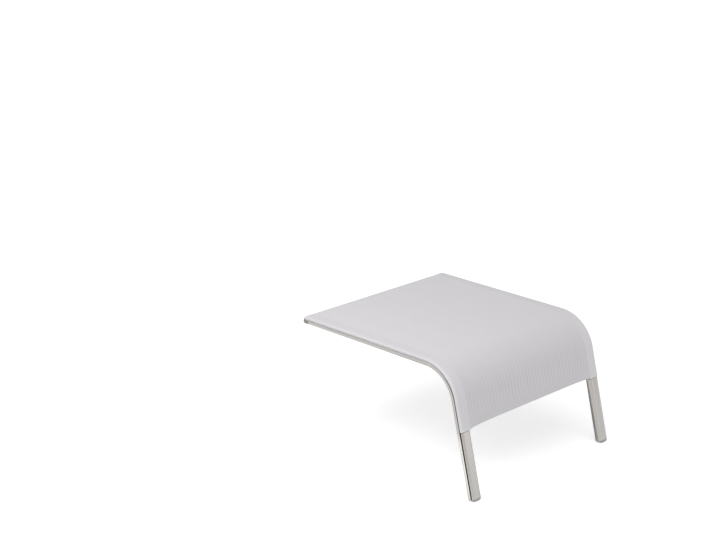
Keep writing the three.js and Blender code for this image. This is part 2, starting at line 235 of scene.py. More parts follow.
def satinSteel(name, finish, groove=None):
    # Groove gives three distances round a section: the groove's start and end, between which the metal is
    # dull and painted dark as shade, and the end of the side that the sling lies on. With it come a painted
    # shadow just below the sleeves' ends and a painted highlight on the uncovered legs' outer round.
    look = newLook(name, metallic=1.0)
    tree = look.node_tree
    brush = noiseOf(grainMap(tree, finish["brushScale"]), 1, detail=4, roughness=0.6)
    smudge = noiseOf(placeMap(tree), finish["smudgeScale"], detail=4, roughness=0.6)
    fine = noiseOf(placeMap(tree), finish["smudgeScale"] * finish["fineSmudges"], detail=2)
    colour = wornColour(mixed(brush, smudge, finish["brushShare"]), finish)
    roughness = spread(mixed(smudge, fine, finish["smudgeShare"]), *noiseRange, *finish["roughness"])
    if groove:
        start, end, covered = groove
        along, around = axesOf(grainMap(tree))[:2]
        blur, width = railPaintedShading["blur"], railPaintedShading["hemShadowWidth"]
        # painted shade: the groove's inside is dark and dull
        inside = times(spread(around, start - blur, start + blur), spread(around, end + blur, end - blur))
        fadeStart, fadeEnd = (covered + reach for reach in railPaintedShading["hemShadowFade"])
        # a painted shadow on the steel just below the sleeves' ends
        hemShadowMask = times(spread(along, sleeveEdge - width / 2, sleeveEdge),
                     spread(along, sleeveEdge + width, sleeveEdge + width / 2),
                     spread(around, end, end + blur), spread(around, fadeEnd, fadeStart))
        # a painted highlight on the uncovered legs' outer round behind the groove
        highlightMask = times(spread(along, sleeveEdge, sleeveEdge + railPaintedShading["polishAlong"]),
                     spread(around, *railPaintedShading["paintedHighlightFrom"]), spread(around, start + blur, start))
        tone = times(towards(hemShadowMask, 1 - railPaintedShading["hemShadow"]), towards(highlightMask, railPaintedShading["polish"]))
        colour = blendColours(inside, scaleColour(colour, tone), railPaintedShading["colour"])
        roughness = maths("MAXIMUM", roughness, times(inside, railPaintedShading["roughness"]))
    return dressLook(look, colour, roughness, brush, finish["brushBump"], finish["brushDepth"])


steelLook = satinSteel("satinSteel", steelFinish)


# Moulded plastic: a fine eroded skin, slightly uneven colour, paler rubbed edges

plasticFinish = {
    "skinScale": 2600,
    "skinBump": 0.5,
    "skinDepth": 0.00006,
    "tints": (0.88, 1.12),
    "rubbedEdges": (0.53, 0.62),
    "rubbedTint": 1.5,
}
footPlastic = {
    "colour": (0.40, 0.395, 0.385, 1),
    "roughness": (0.45, 0.62),
    "mottleScale": 180,
    "rub": 0.5,
}
capPlastic = {
    "colour": (0.235, 0.23, 0.222, 1),
    "roughness": (0.42, 0.6),
    "mottleScale": 160,
    "rub": 0.4,
}
linerPlastic = {
    "colour": (0.045, 0.045, 0.047, 1),
    "roughness": (0.35, 0.5),
    "mottleScale": 140,
    "skinScale": 2200,
    "skinDepth": 0.00005,
    "rub": 0.4,
}
cordPlastic = {
    "colour": (0.77, 0.765, 0.75, 1),
    "roughness": (0.4, 0.55),
    "mottleScale": 120,
    "skinScale": 1800,
    "skinDepth": 0.00004,
    "rub": 0.2,
}


def mouldedPlastic(name, plastic):
    finish = {**plasticFinish, **plastic}
    look = newLook(name)
    place = placeMap(look.node_tree)
    mottle = noiseOf(place, finish["mottleScale"], detail=5, roughness=0.6)
    skin = noiseOf(place, finish["skinScale"], detail=2)
    colour = wornColour(mottle, finish)
    roughness = spread(mottle, *noiseRange, *finish["roughness"])
    return dressLook(look, colour, roughness, skin, finish["skinBump"], finish["skinDepth"])


footLook = mouldedPlastic("footPlastic", footPlastic)
capLook = mouldedPlastic("capPlastic", capPlastic)
linerLook = mouldedPlastic("linerPlastic", linerPlastic)
cordLook = mouldedPlastic("cordPlastic", cordPlastic)
print("steel and plastic finishes made")


# Mesh helpers

grainStep = 0.001  # along a piece whose finish has no grain


def clamped(value, low=0, high=1):
    return min(max(value, low), high)


def evenly(start, end, steps):
    return [start + (end - start) * step / steps for step in range(steps + 1)]


def turnsOf(count):
    # Angles all the way round
    return [2 * math.pi * i / count for i in range(count)]


def arcPoints(centre, radius, start, end, steps):
    return [
        (centre[0] + radius * math.cos(angle), centre[1] + radius * math.sin(angle))
        for angle in evenly(start, end, steps)
    ]


def loft(bm, rings, alongs=grainStep, aroundStart=0, capped=False):
    # Quads between rings of as many points, and with capped a face over each end. The grain map gets the
    # distances along, from a list or in even steps, and the distances around.
    if isinstance(alongs, float):
        alongs = [alongs * i for i in range(len(rings))]
    grain = bm.loops.layers.uv.get("grain") or bm.loops.layers.uv.new("grain")
    rows = [[bm.verts.new(point) for point in ring] for ring in rings]
    count = len(rings[0])
    widest = rings[len(rings) // 2]
    rounds = [aroundStart]
    for i in range(count):
        rounds.append(rounds[-1] + (widest[(i + 1) % count] - widest[i]).length)
    for j in range(len(rows) - 1):
        for i in range(count):
            k = (i + 1) % count
            face = bm.faces.new((rows[j][i], rows[j][k], rows[j + 1][k], rows[j + 1][i]))
            corners = ((j, i), (j, i + 1), (j + 1, i + 1), (j + 1, i))
            for corner, (row, column) in zip(face.loops, corners):
                corner[grain].uv = (alongs[row], rounds[column])
    if capped:
        bm.faces.new(rows[0])
        bm.faces.new(rows[-1])
    return rows


def fillEnd(bm, *rows):
    # Closes a flat end, also between an outer and an inner ring
    edges = []
    for row in rows:
        edges += [bm.edges.get((row[i], row[(i + 1) % len(row)])) for i in range(len(row))]
    bmesh.ops.triangle_fill(bm, edges=edges, use_beauty=True)


def finishPiece(name, bm, look, replaced=(), sharpAngle=38):
    bmesh.ops.recalc_face_normals(bm, faces=bm.faces)
    mesh = bpy.data.meshes.new(name)
    bm.to_mesh(mesh)
    bm.free()
    mesh.shade_smooth()
    mesh.set_sharp_from_angle(angle=math.radians(sharpAngle))
    mesh.materials.append(look)
    piece = addObject(name, mesh)
    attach(piece, "root")
    if replaced:
        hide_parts(*replaced)
    return piece


def softenEdges(piece, width):
    bevel = piece.modifiers.new("softEdges", "BEVEL")
    bevel.width = width
    bevel.segments = 3
    bevel.limit_method = "ANGLE"
    bevel.angle_limit = math.radians(40)
    bevel.harden_normals = True


# The rails' shared path. Distances run along the centre line from the rear end; out is square to it,
# away from the space under the sling.

rails = {
    "thickness": 0.022,
    "wall": 0.0015,
    "topLength": 0.480,
    "bendRadius": 0.109,
    "lean": math.radians(14.2),
    "clothOnLeg": 0.088,  # how far the sling's sleeves reach down the legs
    "grooveAngle": math.radians(29),
    "grooveMouth": 0.0032,
    "cordDiameter": 0.0054,  # with the cloth round it
    "pocketGap": 0.0003,
    "lipRound": 0.0006,
    "pocketRound": 0.0004,
    "endRound": 0.0004,
    "seam": 0.0003,  # between the tube and its cap or glide
    "levelSteps": 6,
    "bendSteps": 44,
    "legSteps": 4,
    "roundSteps": 16,
    "pocketSteps": 18,
    "cornerSteps": 4,
}
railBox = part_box("side_rail_left")
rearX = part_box("rear_end_cap_left")[0].x
railInside, railOutside = (corner.y for corner in railBox)
railRound = rails["thickness"] / 2
railCentre = (railInside + railOutside) / 2
railFlat = (railOutside - railInside) / 2 - railRound
railLevel = railBox[1].z - railRound
bendAngle = math.pi / 2 - rails["lean"]
bendEnd = rails["topLength"] + rails["bendRadius"] * bendAngle
grooveAngle = rails["grooveAngle"]
pocketRadius = rails["cordDiameter"] / 2 + rails["pocketGap"]
pocketDepth = rails["wall"] + math.sqrt(pocketRadius**2 - (rails["grooveMouth"] / 2) ** 2)
pocketReach = railRound - pocketDepth
pocketCentre = (railFlat + pocketReach * math.cos(grooveAngle), pocketReach * math.sin(grooveAngle))
sleeveEdge = bendEnd + rails["clothOnLeg"]


def onRail(distance, y, out):
    turn = clamped((distance - rails["topLength"]) / rails["bendRadius"], high=bendAngle)
    past = max(distance - bendEnd, 0)
    reach = rails["bendRadius"] + out
    level = min(distance, rails["topLength"])
    x = rearX + level + reach * math.sin(turn) + past * math.cos(turn)
    z = railLevel - rails["bendRadius"] + reach * math.cos(turn) - past * math.sin(turn)
    return Vector((x, y, z))


def legDistance(height, out):
    # Where a line at that out, along the leg, reaches a height
    top = railLevel - rails["bendRadius"] + (rails["bendRadius"] + out) * math.cos(bendAngle)
    return bendEnd + (top - height) / math.sin(bendAngle)


def sectionRing(section, distance, side):
    return [onRail(distance, side * (railCentre + across), out) for across, out in section]


def sweep(section, distances, side):
    return [sectionRing(section, distance, side) for distance in distances]


def levelRing(section, height, side):
    return [
        onRail(legDistance(height, out), side * (railCentre + across), out) for across, out in section
    ]


def railStations(start, end):
    level = evenly(start, rails["topLength"], rails["levelSteps"])
    bend = evenly(rails["topLength"], bendEnd, rails["bendSteps"])
    leg = evenly(bendEnd, end, rails["legSteps"])
    return [*level[:-1], *bend, *leg[1:]]


def rounded(points, radii):
    # Rounds the corners whose places in the list have a radius
    result = []
    for i, corner in enumerate(points):
        if i not in radii:
            result.append(corner)
            continue
        here = Vector(corner)
        before = (Vector(points[i - 1]) - here).normalized()
        after = (Vector(points[(i + 1) % len(points)]) - here).normalized()
        half = before.angle(after) / 2
        reach = radii[i] / math.tan(half)
        centre = here + (before + after).normalized() * (radii[i] / math.sin(half))
        first = here + before * reach - centre
        last = here + after * reach - centre
        start = math.atan2(first.y, first.x)
        turn = math.atan2(first.x * last.y - first.y * last.x, first.dot(last))
        result += arcPoints(centre, radii[i], start, start + turn, rails["cornerSteps"])
    return result


def ovalArcs(radius, opening):
    # A flat oval's arcs below the groove's opening, above it, and round the far end
    steps = rails["roundSteps"]
    return (
        arcPoints((railFlat, 0), radius, -math.pi / 2, grooveAngle - opening, steps),
        arcPoints((railFlat, 0), radius, grooveAngle + opening, math.pi / 2, steps // 2),
        arcPoints((-railFlat, 0), radius, math.pi / 2, math.pi * 1.5, steps * 3 // 2),
    )


def pocketArc(radius, opening, steps):
    return arcPoints(pocketCentre, radius, grooveAngle - opening, grooveAngle + opening - math.pi * 2, steps)


def groovedSection(inset=0.0):
    # Outer outline with the open groove; the outer side is at +across
    radius, pocket = railRound - inset, pocketRadius + inset
    half = rails["grooveMouth"] / 2 + inset
    lower, upper, far = ovalArcs(radius, math.asin(half / radius))
    inner = pocketArc(pocket, math.asin(half / pocket), rails["pocketSteps"])
    first, last = len(lower), len(lower) + len(inner)
    lip, corner = rails["lipRound"], rails["pocketRound"]
    return rounded([*lower, *inner, *upper, *far],
                   {first - 1: lip, first: corner, last - 1: corner, last: lip})


# The groove's points in that section, with its four rounded corners, and the first of the far end's arc
grooved = groovedSection()
grooveFirst = rails["roundSteps"]
grooveLast = grooveFirst + rails["pocketSteps"] + 4 * (rails["cornerSteps"] + 1) - 2
farFirst = len(grooved) - rails["roundSteps"] * 3 // 2 - 1


def closedSection(inset):
    # The outer outline without the groove, smaller by the inset, with the grooved section's points
    radius = railRound - inset
    start, end = (math.atan2(grooved[i][1], grooved[i][0] - railFlat) for i in (grooveFirst, grooveLast))
    turns = evenly(start, end, grooveLast - grooveFirst)
    result = []
    for i, point in enumerate(grooved):
        middle = -railFlat if i >= farFirst else railFlat
        angle = math.atan2(point[1], point[0] - middle)
        if grooveFirst <= i <= grooveLast:
            angle = turns[i - grooveFirst]
        result.append((middle + radius * math.cos(angle), radius * math.sin(angle)))
    return result


def roundTo(section, index):
    # Distance round a section from its first point
    pairs = zip(section[:index], section[1:index + 1])
    return sum(math.dist(first, second) for first, second in pairs)


def hollowSection(clearance, oval=None):
    # The hollow of the tube, which goes round the groove's pocket. With oval, a plain flat oval that is
    # larger by that much, with as many points.
    steps = rails["roundSteps"]
    radius = railRound - rails["wall"] - clearance
    shell = pocketRadius + rails["wall"] + clearance
    turn = math.acos((radius**2 + pocketReach**2 - shell**2) / (2 * radius * pocketReach))
    shellTurn = math.atan2(radius * math.sin(turn), radius * math.cos(turn) - pocketReach)
    middle = pocketArc(shell, shellTurn, steps)
    if oval is not None:
        radius = railRound + oval
        middle = arcPoints((railFlat, 0), radius, grooveAngle - turn, grooveAngle + turn, steps)
    lower, upper, far = ovalArcs(radius, turn)
    return [*lower, *middle[1:-1], *upper, *far]


capSizes = {
    "length": railBox[0].x - rearX - rails["seam"],
    "thickness": 0.003,  # of its closed end
    "edgeRound": 0.0012,
    "edgeSteps": 5,
    "crown": 0.0004,
    "crownRings": (0.35, 0.7),  # shares of the way to the middle
    "crownSlope": 1.4,  # how fast it rises over them
    "plugLength": 0.018,
}
glideSizes = {
    "height": railBox[0].z - rails["seam"],
    "round": 0.003,
    "roundSteps": 8,
    "edge": 0.001,  # of the height, left at the two ends of the curved sole
    "sole": 0.008,  # width of its flat middle
    "soleRings": (0.3, 0.5, 0.7, 0.88),  # shares of the way to the middle
    "flatSteps": 12,
    "plugLength": 0.022,
}
plugSizes = {
    "clearance": 0.0003,
    "tipClearance": 0.0009,
    "tipLength": 0.0015,
}
# The groove's two edges, and the end of the side that the cloth lies on
grooveEnds = (grooveFirst + rails["cornerSteps"], grooveLast - rails["cornerSteps"], farFirst)
railLook = satinSteel("groovedSteel", steelFinish, [roundTo(grooved, i) for i in grooveEnds])


def makeRail(side, name):
    bm = bmesh.new()
    start = capSizes["length"] + rails["seam"]
    height = glideSizes["height"] + rails["seam"]
    soft, end = rails["endRound"], legDistance(height, 0)
    eased, hollow = groovedSection(soft), hollowSection(0)
    stations = railStations(start + soft, end - railRound)
    rings = [sectionRing(eased, start, side), *sweep(grooved, stations, side),
             levelRing(grooved, height + soft, side), levelRing(eased, height, side)]
    skin = loft(bm, rings, [start, *stations, end, end + soft])
    stations.insert(0, start)
    rings = [*sweep(hollow, stations, side), levelRing(hollow, height, side)]
    lining = loft(bm, rings, [*stations, end], aroundStart=1)  # clear of the groove's distances
    fillEnd(bm, skin[0], lining[0])
    fillEnd(bm, skin[-1], lining[-1])
    finishPiece(f"rail_tube_{name}", bm, railLook, [f"side_rail_{name}"])


def makeEndCap(side, name):
    # A collar that carries on the tube's groove, its crowned closed end, and the plug inside the tube
    bm = bmesh.new()
    thickness, length, crown = capSizes["thickness"], capSizes["length"], capSizes["crown"]
    soft, tip = capSizes["edgeRound"], rails["endRound"]
    outline = [(groovedSection(tip), length), (grooved, length - tip), (grooved, thickness),
               (closedSection(0), thickness)]
    for angle in evenly(0, math.pi / 2, capSizes["edgeSteps"]):
        outline.append((closedSection(soft * (1 - math.cos(angle))), soft * (1 - math.sin(angle)) + crown))
    for share in capSizes["crownRings"]:
        outline.append((closedSection(soft + (railRound - soft) * share),
                        max(crown * (1 - share * capSizes["crownSlope"]), 0)))
    head = loft(bm, [sectionRing(section, place, side) for section, place in outline])
    bm.faces.new(head[-1])
    plug, end = hollowSection(plugSizes["clearance"]), length + capSizes["plugLength"]
    stations = [length, end - plugSizes["tipLength"], end]
    rings = [sectionRing(section, place, side)
             for section, place in zip((plug, plug, hollowSection(plugSizes["tipClearance"])), stations)]
    inner = loft(bm, rings, stations)
    bm.faces.new(inner[-1])
    fillEnd(bm, head[0], inner[0])
    bmesh.ops.remove_doubles(bm, verts=bm.verts, dist=1e-6)  # where the grooved and the closed ring meet
    finishPiece(f"end_cap_{name}", bm, capLook, [f"rear_end_cap_{name}"])


def soleAt(across):
    # Height of the curved sole at a distance from the rail's centre line
    end, flat, rise = railFlat + railRound, glideSizes["sole"] / 2, glideSizes["height"] - glideSizes["edge"]
    centre = (end**2 + rise**2 - flat**2) / (2 * rise)
    radius = math.hypot(flat, centre)
    return max(centre - math.sqrt(radius**2 - min(across**2, end**2)), 0)


def glideSection(clearance, oval=None):
    # A hollow's section with points along its two flat sides too, where the sole curves
    points = hollowSection(clearance, oval)
    steps = glideSizes["flatSteps"]
    section = []
    for first, second in zip(points, [*points[1:], points[0]]):
        section.append(first)
        if math.dist(first, second) > railFlat:
            across, out = second[0] - first[0], second[1] - first[1]
            section += [(first[0] + across * i / steps, first[1] + out * i / steps) for i in range(1, steps)]
    return section


def makeGlide(side, name):
    # From the plug's upper end down to the curved sole
    bm = bmesh.new()
    height, soft, gap = glideSizes["height"], glideSizes["round"], plugSizes["clearance"]
    top = legDistance(height, 0) - glideSizes["plugLength"]
    plug = glideSection(gap)
    rings = [
        sectionRing(glideSection(plugSizes["tipClearance"]), top, side),
        sectionRing(plug, top + plugSizes["tipLength"], side),
        levelRing(plug, height, side),
        levelRing(glideSection(gap, oval=-rails["endRound"]), height, side),
    ]

    def headRing(inset, share):
        # Share 1 is the head's top and 0 the sole
        ring = []
        for point in levelRing(glideSection(gap, oval=-inset), height, side):
            sole = soleAt(point.y - side * railCentre)
            ring.append(Vector((point.x, point.y, sole + (height - sole) * share)))
        return ring

    rings.append(headRing(0, 1 - rails["endRound"] / height))
    for angle in evenly(0, math.pi / 2, glideSizes["roundSteps"]):
        rings.append(headRing(soft * (1 - math.cos(angle)), soft / height * (1 - math.sin(angle))))
    rings += [headRing(railRound * share, 0) for share in glideSizes["soleRings"]]
    rows = loft(bm, rings)
    bm.faces.new(rows[0])
    fillEnd(bm, rows[-1])
    finishPiece(f"glide_{name}", bm, footLook, [f"foot_glide_{name}"])


for side, name in sideNames.items():
    makeRail(side, name)
    makeEndCap(side, name)
    makeGlide(side, name)
print("rails, end caps and glides made")


# Sling: one woven sheet with raised ribs along it. It lies over both rails, turns in through each groove's
# mouth and round the cord, and its free edges are folded under and stitched.

slingSizes = {
    "thickness": 0.0010,
    "clearance": 0.0002,
    "ribPitch": 0.0033,
    "ribHeight": 0.0001,
    "ribColumns": 4,  # of points in each rib
    "wavePitch": 0.0132,  # every fourth rib stands out where the sheet hangs down
    "waveHeight": 0.00018,
    "waveFade": 0.004,  # towards the hem
    "cordTurn": 0.0017,  # radius of the cord that the edge goes round
    "lipEase": 0.5,  # angle over which the sheet comes down onto the groove's lip
    "tailBend": 0.0006,
    "tailEnd": math.radians(365),
    "lipColumns": 6,
    "tailColumns": 3,
    "wrapColumns": 16,
    "freeEdge": bendEnd + 0.0825,
    "edgeSag": 0.0035,  # of the free edge, close to the rails
    "sagStart": 0.042,  # from the free edge
    "sagLength": 0.028,
    "sagPower": 6,
    "sleeveLift": 0.0009,
    "sleeveLiftLength": 0.008,
    "hemDepth": 0.014,
    "hemRadius": 0.00065,
    "hemInset": 0.0004,  # of the hem's ends from the rails
    "hemSteps": 6,
    "seamInset": 0.004,  # of the side seams from the rails' inner sides
    "hemSeam": 0.012,  # of the hems' seams from the edges
    "seamDip": 0.00018,
    "seamWidth": 0.0012,
    "seamRows": (-1.5, -0.7, 0, 0.7, 1.5),  # in seam widths
    "rearRow": 0.09,  # from the rear edge
    "levelRows": (0.2, 0.3, 0.4),
    "bendRows": 26,
    "dropRows": (0.02, 0.045, 0.064),  # from the bend's end
}
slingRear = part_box("sling")[0].x - rearX
slingHalf = slingSizes["thickness"] / 2
slingTop = railRound + slingSizes["clearance"] + slingHalf + slingSizes["ribHeight"]
hemHalf = railInside - slingSizes["hemInset"]
seamU = railInside + slingSizes["seamInset"]
rearSeam = slingRear + slingSizes["hemSeam"]
frontSeam = slingSizes["freeEdge"] - slingSizes["hemSeam"]

# The groove's lip and the sheet's way round it and round the cord. A reach is a distance across the sheet
# from the footrest's middle, up to the end of each of its straights and bends.
lipUp = rails["grooveMouth"] / 2 + rails["lipRound"]
lipAlong = math.sqrt((railRound - rails["lipRound"]) ** 2 - lipUp**2)
lipLead = math.atan2(lipUp, lipAlong)
lipRadius = rails["lipRound"] + slingSizes["clearance"] + slingHalf
flatReach = railCentre + railFlat
roundReach = flatReach + slingTop * (math.pi / 2 - grooveAngle - lipLead)
turnReach = roundReach + lipRadius * (lipLead + math.pi / 2)
wrapRadius = slingSizes["cordTurn"] + slingHalf
tailLevel = lipUp - lipRadius
bendLevel = tailLevel + slingSizes["tailBend"]
tailAlong = pocketReach + math.sqrt((wrapRadius + slingSizes["tailBend"]) ** 2 - bendLevel**2)
wrapStart = math.atan2(bendLevel, tailAlong - pocketReach)
tailStraight = lipAlong - tailAlong
tailArc = slingSizes["tailBend"] * (math.pi / 2 - wrapStart)
wrapReach = turnReach + tailStraight + tailArc
tailReach = wrapReach + wrapRadius * (slingSizes["tailEnd"] - wrapStart)


def slingTail(past):
    # Beyond the turn over the lip, seen along the groove: depth, level and the angle of the face
    if past <= tailStraight:
        return lipAlong - past, tailLevel, -math.pi / 2
    past -= tailStraight
    if past <= tailArc:
        bend = slingSizes["tailBend"]
        turn = past / bend
        return tailAlong - bend * math.sin(turn), tailLevel + bend * (1 - math.cos(turn)), -math.pi / 2 - turn
    turn = wrapStart + (past - tailArc) / wrapRadius
    return pocketReach + wrapRadius * math.cos(turn), wrapRadius * math.sin(turn), turn - math.pi


def slingSection(u):
    # Middle of the sheet at a distance across it from the footrest's middle: (y, out, angle of its face)
    side = math.copysign(1, u)
    u = abs(u)
    if u <= flatReach:
        return side * u, slingTop, math.pi / 2
    if u <= roundReach:
        angle = math.pi / 2 - (u - flatReach) / slingTop
        return side * (flatReach + slingTop * math.cos(angle)), slingTop * math.sin(angle), angle
    if u > turnReach:
        depth, level, angle = slingTail(u - turnReach)
        along, up = math.cos(grooveAngle), math.sin(grooveAngle)
        y = flatReach + depth * along - level * up
        return side * y, depth * up + level * along, angle + grooveAngle
    reach = math.hypot(lipAlong, lipUp)
    centreY = flatReach + reach * math.cos(grooveAngle + lipLead)
    centreOut = reach * math.sin(grooveAngle + lipLead)
    turn = (u - roundReach) / lipRadius
    angle = grooveAngle + lipLead - turn
    ease = max(1 - turn / slingSizes["lipEase"], 0)
    radius = lipRadius + (slingTop - reach - lipRadius) * ease
    return side * (centreY + radius * math.cos(angle)), centreOut + radius * math.sin(angle), angle


def slingColumns():
    pitch = slingSizes["ribPitch"] / slingSizes["ribColumns"]
    half = [pitch * i for i in range(int(roundReach / pitch) + 1)]
    half = [u for u in half if abs(u - railInside) > pitch / 2]
    half += [railInside, hemHalf]
    half += evenly(roundReach, turnReach, slingSizes["lipColumns"])
    half += evenly(turnReach + tailStraight, wrapReach, slingSizes["tailColumns"])
    half += evenly(wrapReach, tailReach, slingSizes["wrapColumns"])[1:]
    half.sort()
    return [-u for u in reversed(half[1:])] + half


def slingRows():
    # Each row: distance along the rail, drop below the sheet's level, tilt of its face, and for the
    # sleeves over the rails their own distance. Rows beyond a free edge fold under it.
    radius, steps = slingSizes["hemRadius"], slingSizes["hemSteps"]
    plain = [slingRear + slingSizes["rearRow"], *slingSizes["levelRows"]]
    plain += evenly(rails["topLength"], bendEnd, slingSizes["bendRows"])
    plain += [bendEnd + row for row in slingSizes["dropRows"]]
    hems = []
    for sign, edge, seam, sleeve in ((-1, slingRear, rearSeam, slingRear),
                                     (1, slingSizes["freeEdge"], frontSeam, sleeveEdge)):
        fold = edge - sign * (radius + slingHalf)
        plain += [fold, *(seam + slingSizes["seamWidth"] * share for share in slingSizes["seamRows"])]
        hem = []
        for step in range(1, steps + 1):
            tilt = math.pi * step / steps
            hem.append((fold + sign * radius * math.sin(tilt), radius * (1 - math.cos(tilt)), sign * tilt,
                        fold + (sleeve - fold) * step / (steps + 1)))
        hem.append((edge - sign * slingSizes["hemDepth"], 2 * radius, sign * math.pi, sleeve))
        hems.append(hem)
    return [*reversed(hems[0]), *((distance, 0, 0, distance) for distance in sorted(plain)), *hems[1]]


def seamDip(u, distance):
    places = [abs(u) - seamU]
    if abs(u) < railInside:
        places += [distance - rearSeam, frontSeam - distance]
    shares = [math.exp(-((place / slingSizes["seamWidth"]) ** 2) * 2) for place in places]
    return slingSizes["seamDip"] * sum(shares)


def edgeSag(u, distance):
    # The free edge hangs a little lower close to the rails
    share = clamped((distance - slingSizes["freeEdge"] + slingSizes["sagStart"]) / slingSizes["sagLength"])
    return slingSizes["edgeSag"] * min(abs(u) / railInside, 1) ** slingSizes["sagPower"] * share


def waveShare(distance):
    # The stronger ribs show from halfway round the bend to the hem
    start = (rails["topLength"] + bendEnd) / 2
    end = slingSizes["freeEdge"] - slingSizes["hemDepth"]
    grow = clamped((distance - start) / (bendEnd - start))
    return grow * clamped((end - distance) / slingSizes["waveFade"])


def placeOnSling(u, row, layer):
    # Layer is 1 for the upper skin and -1 for the lower one
    distance, drop, tilt, sleeveDistance = row
    distance += edgeSag(u, distance)
    y, out, angle = slingSection(u)
    fade = clamped((roundReach - abs(u)) / slingSizes["ribPitch"])
    flatter = clamped((railInside - abs(u)) / slingSizes["wavePitch"] + 1)
    rib = slingSizes["ribHeight"] * math.cos(2 * math.pi * u / slingSizes["ribPitch"]) * fade
    wave = slingSizes["waveHeight"] * math.cos(2 * math.pi * u / slingSizes["wavePitch"]) * flatter
    offset = layer * (slingHalf + rib) + wave * waveShare(distance)
    if abs(u) < railInside - slingSizes["hemInset"] / 2:
        down = out - drop + offset * math.cos(tilt)
        if tilt == 0:
            down -= seamDip(u, distance)
        return onRail(distance + offset * math.sin(tilt), y, down)
    lift = max(1 - (sleeveEdge - sleeveDistance) / slingSizes["sleeveLiftLength"], 0)
    grow = offset + slingSizes["sleeveLift"] * lift**2 * fade - seamDip(u, sleeveDistance)
    across = y + math.copysign(1, u) * grow * math.cos(angle)
    return onRail(sleeveDistance, across, out + grow * math.sin(angle))


def makeSling():
    columns, rows = slingColumns(), slingRows()
    hemRows = slingSizes["hemSteps"] + 1
    bm = bmesh.new()
    grain = bm.loops.layers.uv.new("grain")
    alongs = [0]
    for first, second in zip(rows, rows[1:]):
        alongs.append(alongs[-1] + math.hypot(second[0] - first[0], second[1] - first[1]))
    start = alongs[hemRows] - rows[hemRows][0]

    def isOpen(i, j):
        # The gap between a hem's end and the sleeve beside it
        nearer = min(abs(columns[i]), abs(columns[i + 1]))
        return hemHalf <= nearer < railInside and not hemRows <= j < len(rows) - hemRows

    cells = {
        (i, j) for i in range(len(columns) - 1) for j in range(len(rows) - 1) if not isOpen(i, j)
    }
    used = {(i + a, j + b) for i, j in cells for a in (0, 1) for b in (0, 1)}
    skins = {}
    for layer in (1, -1):
        for i, j in sorted(used):
            skins[layer, i, j] = bm.verts.new(placeOnSling(columns[i], rows[j], layer))

    def addFace(corners):
        face = bm.faces.new([skins[corner] for corner in corners])
        for loop, (layer, i, j) in zip(face.loops, corners):
            loop[grain].uv = (columns[i], alongs[j] - start)

    for i, j in sorted(cells):
        around = ((i, j), (i + 1, j), (i + 1, j + 1), (i, j + 1))
        addFace([(1, *corner) for corner in around])
        addFace([(-1, *corner) for corner in reversed(around)])
        neighbours = ((i, j - 1), (i + 1, j), (i, j + 1), (i - 1, j))
        for k, neighbour in enumerate(neighbours):
            if neighbour not in cells:
                first, second = around[k], around[(k + 1) % 4]
                addFace([(1, *second), (1, *first), (-1, *first), (-1, *second)])
    return bm


weave = {
    "colour": (0.685, 0.67, 0.692, 1),
    # painted shade seen through the weave's openings
    "openColour": (0.51, 0.50, 0.52, 1),
    "openRib": (0.45, 0.05),  # heights of a rib's wave at which an opening beside it starts and is full
    "openWeft": (0.55, 0.15),  # and of a cross yarn's
    "backedShare": 0.3,  # of the openings and the ribs' waves, where a tube lies behind the cloth
    "backedBlur": 0.001,
    "tuckShadeAndLight": (1.15, 0.15),  # painted light and shade of the cloth inside the groove, on the level part and on the legs
    "tuckTurn": 0.75,  # share of the bend over which that changes
    "tuckStart": 0.8,  # in radii of the groove's lip
    "hangPaintedLight": 1.04,  # painted light on the cloth where it hangs down
    "tubeShadeAndLight": (0.94, 1.07),  # painted shade and light of the cloth over the tubes, on the level part and on the legs
    "weftPitch": 0.0021,
    "weftLow": 0.4,  # a rib's height where it dives under a cross yarn
    "fibreScale": (3000, 900, 1),
    "fibreHeight": 0.15,
    "roughness": (0.62, 0.78),
    "streak": 0.01,
    "wave": 0.02,  # painted light: how much paler every fourth rib is where the cloth hangs down
    "waveFrom": (0.3, 0.8),  # shares of the bend over which that comes in
    "bump": 0.6,
    "depth": 0.00025,
}


